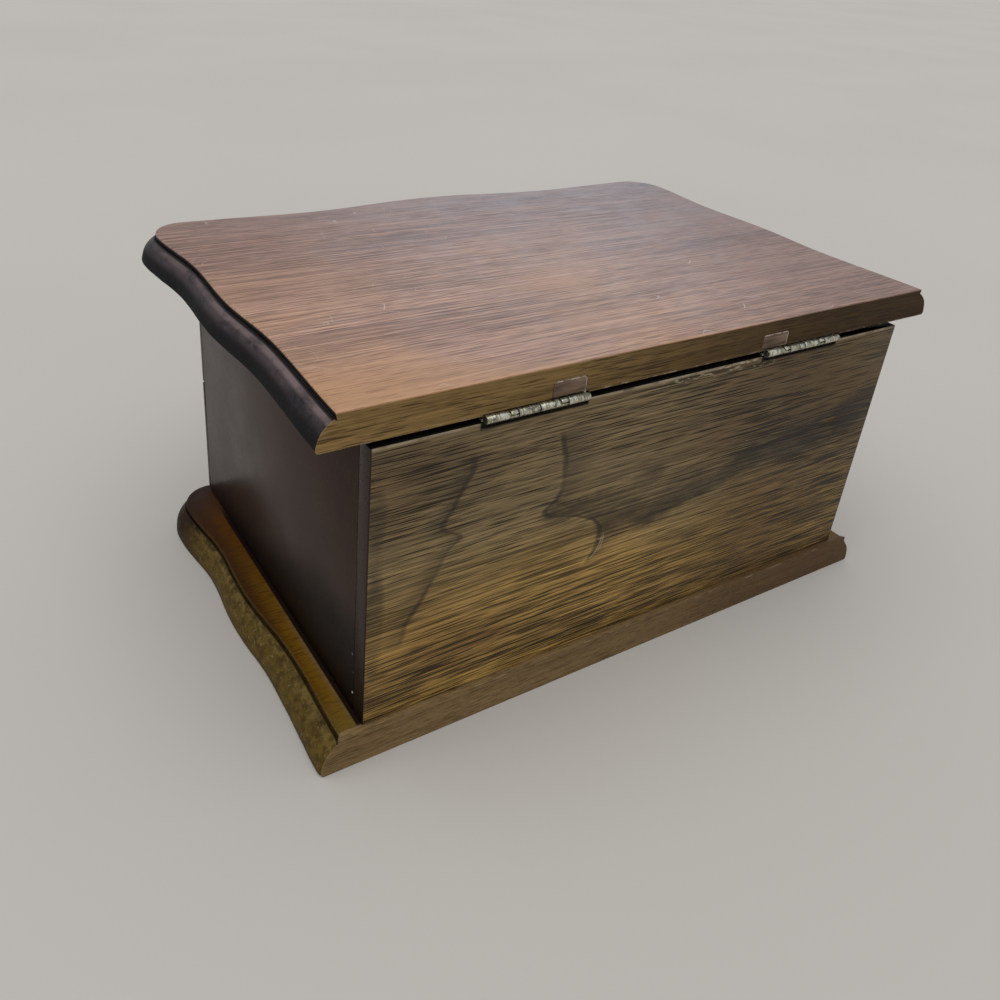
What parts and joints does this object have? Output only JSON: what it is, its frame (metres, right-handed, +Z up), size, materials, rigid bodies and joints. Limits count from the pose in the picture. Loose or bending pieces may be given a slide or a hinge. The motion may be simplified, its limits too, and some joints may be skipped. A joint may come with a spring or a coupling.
{
  "type": "jewelry chest",
  "caption": "Wooden jewelry chest with serpentine moulded lid and base boards, a hinged lid over a lined compartment, and a sliding drawer below it.",
  "frame": {"origin": "under the middle of the chest's bounding box, on the surface that it stands on", "axes": "+X to the right seen from the front, +Y towards the hinges at the rear, +Z up"},
  "size_m": [0.2834, 0.1906, 0.1386],
  "materials": {
    "lid_wood": "satin reddish brown open-pored veneer, dark in the moulding",
    "base_wood": "worn golden brown",
    "back_wood": "olive brown coarse veneer, water stained",
    "side_wood": "smooth dark chocolate stain",
    "inner_wood": "bare pale wood",
    "felt": "dark red felt",
    "cushion_fabric": "dark red velvet",
    "patch_wood": "purplish brown with a pale edge",
    "worn_brass": "dull worn brass, silvery in places",
    "knob_brass": "polished, slightly tarnished",
    "looking_glass": "silvered glass"
  },
  "bodies": {
    "carcase": {"base_board": "base_wood", "side_panel_left": "side_wood", "side_panel_right": "side_wood", "back_panel": "back_wood", "compartment_floor": "inner_wood", "upper_front": "side_wood", "compartment_lining": "felt", "lining_front": "felt", "lining_rear": "felt", "lining_left": "felt", "lining_right": "felt", "divider_long": "felt", "divider_rear": "felt", "divider_front_left": "felt", "divider_front_right": "felt", "ring_cushion": "cushion_fabric", "hinge_case_leaf_left": "worn_brass", "hinge_case_leaf_right": "worn_brass", "hinge_pin_left": "worn_brass", "hinge_pin_right": "worn_brass"},
    "lid": {"lid_board": "lid_wood", "hinge_patch_left": "patch_wood", "hinge_patch_right": "patch_wood", "hinge_lid_leaf_left": "worn_brass", "hinge_lid_leaf_right": "worn_brass", "mirror": "looking_glass", "mirror_bead_front": "inner_wood", "mirror_bead_right": "inner_wood", "mirror_bead_rear": "inner_wood", "mirror_bead_left": "inner_wood"},
    "drawer": {"drawer_front": "side_wood", "drawer_side_left": "inner_wood", "drawer_side_right": "inner_wood", "drawer_back": "inner_wood", "drawer_bottom": "inner_wood", "drawer_lining": "felt", "drawer_knob_left": "knob_brass", "drawer_knob_right": "knob_brass"}
  },
  "joints": [
    {"name": "lid_hinge", "type": "hinge", "parent": "carcase", "child": "lid", "pos_m": [0, 0.09385, 0.12545], "axis": [-1, 0, 0], "range_deg": [0, 100]},
    {"name": "drawer_slide", "type": "slide", "parent": "carcase", "child": "drawer", "axis": [0, -1, 0], "range_m": [0, 0.115]}
  ]
}
